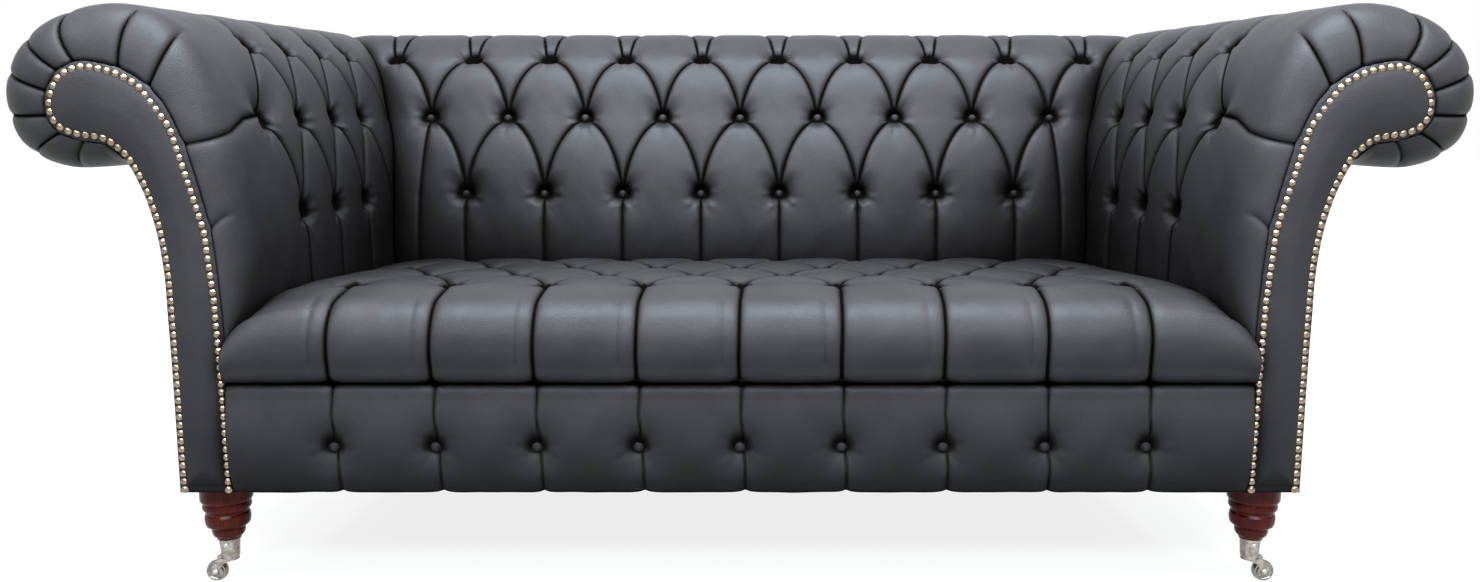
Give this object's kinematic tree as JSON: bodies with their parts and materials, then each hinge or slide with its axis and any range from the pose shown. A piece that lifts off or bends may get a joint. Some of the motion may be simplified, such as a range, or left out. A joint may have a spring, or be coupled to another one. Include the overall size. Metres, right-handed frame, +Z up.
{
  "type": "chesterfield sofa",
  "caption": "Deep-buttoned leather chesterfield sofa with scroll arms, padded border, nailed facings and turned legs on swivel castors.",
  "frame": {"origin": "on the floor, under the middle of the overall box", "axes": "+X to the right seen from the front, the front faces -Y, +Z up"},
  "size_m": [2, 0.9099, 0.831],
  "materials": {
    "bolt_steel": "zinc plated",
    "button_leather": "same hide stretched over buttons",
    "castor_metal": "bright nickel plate",
    "castor_pin": "plain steel",
    "dust_cloth": "thin black cloth",
    "frame_wood": "plain beech",
    "jute": "woven jute",
    "leather": "soft sheen aniline hide, near black",
    "leg_wood": "dark red mahogany, polished",
    "nail_brass": "aged brass",
    "panel_leather": "same hide, smooth outside panels",
    "spring_steel": "oiled spring wire",
    "wheel_metal": "bright nickel plate"
  },
  "bodies": {
    "sofa_body": {"arm_buttons_left": "button_leather", "arm_buttons_right": "button_leather", "arm_facing_left": "leather", "arm_facing_right": "leather", "arm_pad_left": "leather", "arm_pad_right": "leather", "arm_rear_board_left": "frame_wood", "arm_rear_board_right": "frame_wood", "arm_tack_rail_left": "frame_wood", "arm_tack_rail_right": "frame_wood", "arm_top_rail_left": "frame_wood", "arm_top_rail_right": "frame_wood", "back_buttons": "button_leather", "back_pad": "leather", "back_rail": "frame_wood", "back_ribs": "frame_wood", "back_tack_rail": "frame_wood", "back_top_rail": "frame_wood", "back_webbing": "jute", "border_buttons": "button_leather", "castor_cups": "castor_metal", "corner_blocks": "frame_wood", "cup_screws": "castor_pin", "dust_cover": "dust_cloth", "facing_nails_left": "nail_brass", "facing_nails_right": "nail_brass", "front_border": "leather", "front_rail": "frame_wood", "leg_bolts": "bolt_steel", "leg_front_left": "leg_wood", "leg_front_right": "leg_wood", "leg_rear_left": "leg_wood", "leg_rear_right": "leg_wood", "outside_arm_left": "panel_leather", "outside_arm_right": "panel_leather", "outside_back": "panel_leather", "rear_rail": "frame_wood", "scroll_board_left": "frame_wood", "scroll_board_right": "frame_wood", "seat_braces": "frame_wood", "seat_buttons": "button_leather", "seat_cushion": "leather", "seat_hessian": "jute", "seat_springs": "spring_steel", "side_rail_left": "frame_wood", "side_rail_right": "frame_wood", "spring_clips": "spring_steel"},
    "castor_fork_front_left": {"castor_horn_front_left": "castor_metal", "castor_axle_front_left": "castor_pin"},
    "castor_wheel_front_left": {"castor_wheel_front_left": "wheel_metal"},
    "castor_fork_front_right": {"castor_horn_front_right": "castor_metal", "castor_axle_front_right": "castor_pin"},
    "castor_wheel_front_right": {"castor_wheel_front_right": "wheel_metal"},
    "castor_fork_rear_left": {"castor_horn_rear_left": "castor_metal", "castor_axle_rear_left": "castor_pin"},
    "castor_wheel_rear_left": {"castor_wheel_rear_left": "wheel_metal"},
    "castor_fork_rear_right": {"castor_horn_rear_right": "castor_metal", "castor_axle_rear_right": "castor_pin"},
    "castor_wheel_rear_right": {"castor_wheel_rear_right": "wheel_metal"}
  },
  "joints": [
    {"name": "castor_swivel_front_left", "type": "hinge", "parent": "sofa_body", "child": "castor_fork_front_left", "pos_m": [-0.752, -0.367, 0.036], "axis": [0, 0, 1], "continuous": true},
    {"name": "castor_roll_front_left", "type": "hinge", "parent": "castor_fork_front_left", "child": "castor_wheel_front_left", "pos_m": [-0.773, -0.367, 0.0155], "axis": [0, 1, 0], "continuous": true},
    {"name": "castor_swivel_front_right", "type": "hinge", "parent": "sofa_body", "child": "castor_fork_front_right", "pos_m": [0.752, -0.367, 0.036], "axis": [0, 0, 1], "continuous": true},
    {"name": "castor_roll_front_right", "type": "hinge", "parent": "castor_fork_front_right", "child": "castor_wheel_front_right", "pos_m": [0.773, -0.367, 0.0155], "axis": [0, 1, 0], "continuous": true},
    {"name": "castor_swivel_rear_left", "type": "hinge", "parent": "sofa_body", "child": "castor_fork_rear_left", "pos_m": [-0.69356, 0.301, 0.036], "axis": [0, 0, 1], "continuous": true},
    {"name": "castor_roll_rear_left", "type": "hinge", "parent": "castor_fork_rear_left", "child": "castor_wheel_rear_left", "pos_m": [-0.71456, 0.301, 0.0155], "axis": [0, 1, 0], "continuous": true},
    {"name": "castor_swivel_rear_right", "type": "hinge", "parent": "sofa_body", "child": "castor_fork_rear_right", "pos_m": [0.69356, 0.301, 0.036], "axis": [0, 0, 1], "continuous": true},
    {"name": "castor_roll_rear_right", "type": "hinge", "parent": "castor_fork_rear_right", "child": "castor_wheel_rear_right", "pos_m": [0.71456, 0.301, 0.0155], "axis": [0, 1, 0], "continuous": true}
  ]
}
